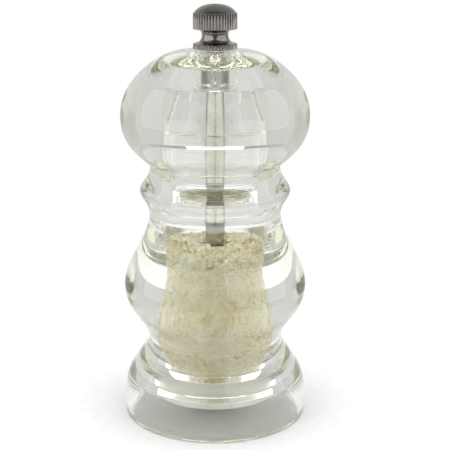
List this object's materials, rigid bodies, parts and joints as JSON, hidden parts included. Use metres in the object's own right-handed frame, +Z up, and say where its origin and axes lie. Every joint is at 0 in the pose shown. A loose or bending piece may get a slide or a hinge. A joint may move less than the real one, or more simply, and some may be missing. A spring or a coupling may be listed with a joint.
{
  "type": "pepper mill",
  "caption": "Clear acrylic hand mill: turned body and head on a square shaft, knurled setting nut, ceramic cone grinder in the foot.",
  "frame": {"origin": "centre of the foot, on the table it stands on", "axes": "+Z up along the shaft, +Y away from the front; the square shaft has a corner to the front"},
  "size_m": [0.0542, 0.0542, 0.12],
  "materials": {
    "acrylic": "clear turned acrylic, polished outside, fine turning marks in the bores",
    "nut_steel": "bright turned steel with a straight knurl",
    "nylon_natural": "natural nylon",
    "shaft_aluminium": "drawn square bar",
    "nylon_white": "cream white moulded nylon",
    "ceramic": "white sintered ceramic",
    "spring_steel": "drawn stainless wire",
    "washer_steel": "stamped stainless steel",
    "salt": "coarse off-white salt crystals"
  },
  "bodies": {
    "mill_body": {"body": "acrylic", "grinder_housing": "nylon_white", "stator_ring": "ceramic", "salt_fill": "salt"},
    "turning_washer": {"spring_washer": "washer_steel"},
    "spindle": {"shaft": "shaft_aluminium", "rotor": "ceramic", "rotor_carrier": "nylon_white", "rotor_washer": "washer_steel", "rotor_screw": "washer_steel", "spring": "spring_steel"},
    "mill_head": {"head": "acrylic", "drive_bush": "nylon_natural"},
    "setting_nut": {"top_nut": "nut_steel"}
  },
  "joints": [
    {"name": "head_turn", "type": "hinge", "parent": "mill_body", "child": "turning_washer", "pos_m": [0, 0, 0.075], "axis": [0, 0, 1], "continuous": true},
    {"name": "head_lift", "type": "slide", "parent": "turning_washer", "child": "mill_head", "axis": [0, 0, 1], "range_m": [0, 0.046]},
    {"name": "nut_turn", "type": "hinge", "parent": "mill_head", "child": "setting_nut", "pos_m": [0, 0, 0.1075], "axis": [0, 0, 1], "range_deg": [-360, 720]},
    {"name": "grind_set", "type": "slide", "parent": "turning_washer", "child": "spindle", "axis": [0, 0, 1], "range_m": [-0.0014, 0.0007], "deforming": ["spring"]}
  ],
  "couplings": [
    {"joint": "grind_set", "follows": "nut_turn", "m_per_rad": -0.00011141}
  ]
}
